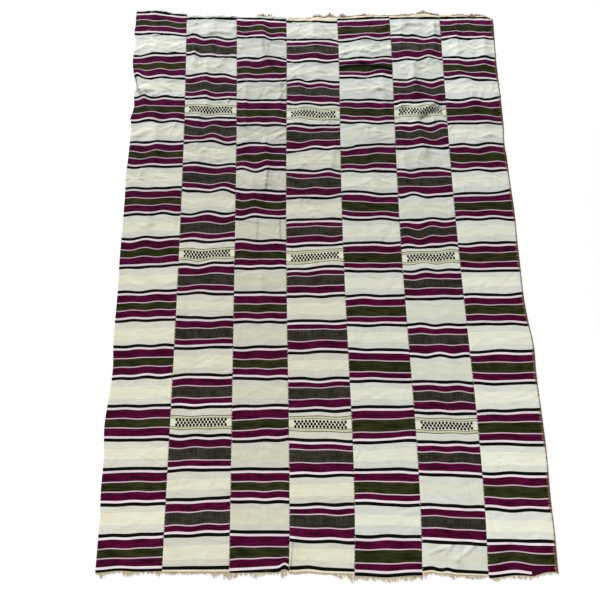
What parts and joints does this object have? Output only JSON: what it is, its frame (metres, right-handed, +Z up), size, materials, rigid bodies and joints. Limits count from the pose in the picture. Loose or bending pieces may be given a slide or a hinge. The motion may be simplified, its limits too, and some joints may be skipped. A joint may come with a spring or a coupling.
{
  "type": "handwoven strip-woven cotton blanket",
  "caption": "Blanket of narrow handwoven cotton strips sewn edge to edge, laid out flat, with striped and plain blocks and short warp-end fringes.",
  "frame": {"origin": "middle of the blanket's outline, on the surface it lies on", "axes": "+Y along the strips towards the head end, +X across the strips, +Z up out of the blanket's face"},
  "size_m": [1.4256, 2.1012, 0.0125],
  "materials": {
    "strip_cloth": "matt handwoven cotton, cream with purple, olive, grey, black and white weft bands",
    "fringe_yarn": "raw twisted cotton warp yarn"
  },
  "bodies": {
    "root": {"strip_1": "strip_cloth", "strip_2": "strip_cloth", "strip_3": "strip_cloth", "strip_4": "strip_cloth", "strip_5": "strip_cloth", "strip_6": "strip_cloth", "strip_7": "strip_cloth", "fringe_foot_1": "fringe_yarn", "fringe_foot_2": "fringe_yarn", "fringe_foot_3": "fringe_yarn", "fringe_foot_4": "fringe_yarn", "fringe_foot_5": "fringe_yarn", "fringe_foot_6": "fringe_yarn", "fringe_foot_7": "fringe_yarn", "fringe_head_3": "fringe_yarn", "fringe_head_4": "fringe_yarn", "fringe_head_5": "fringe_yarn", "fringe_head_6": "fringe_yarn", "fringe_head_7": "fringe_yarn"}
  },
  "joints": []
}
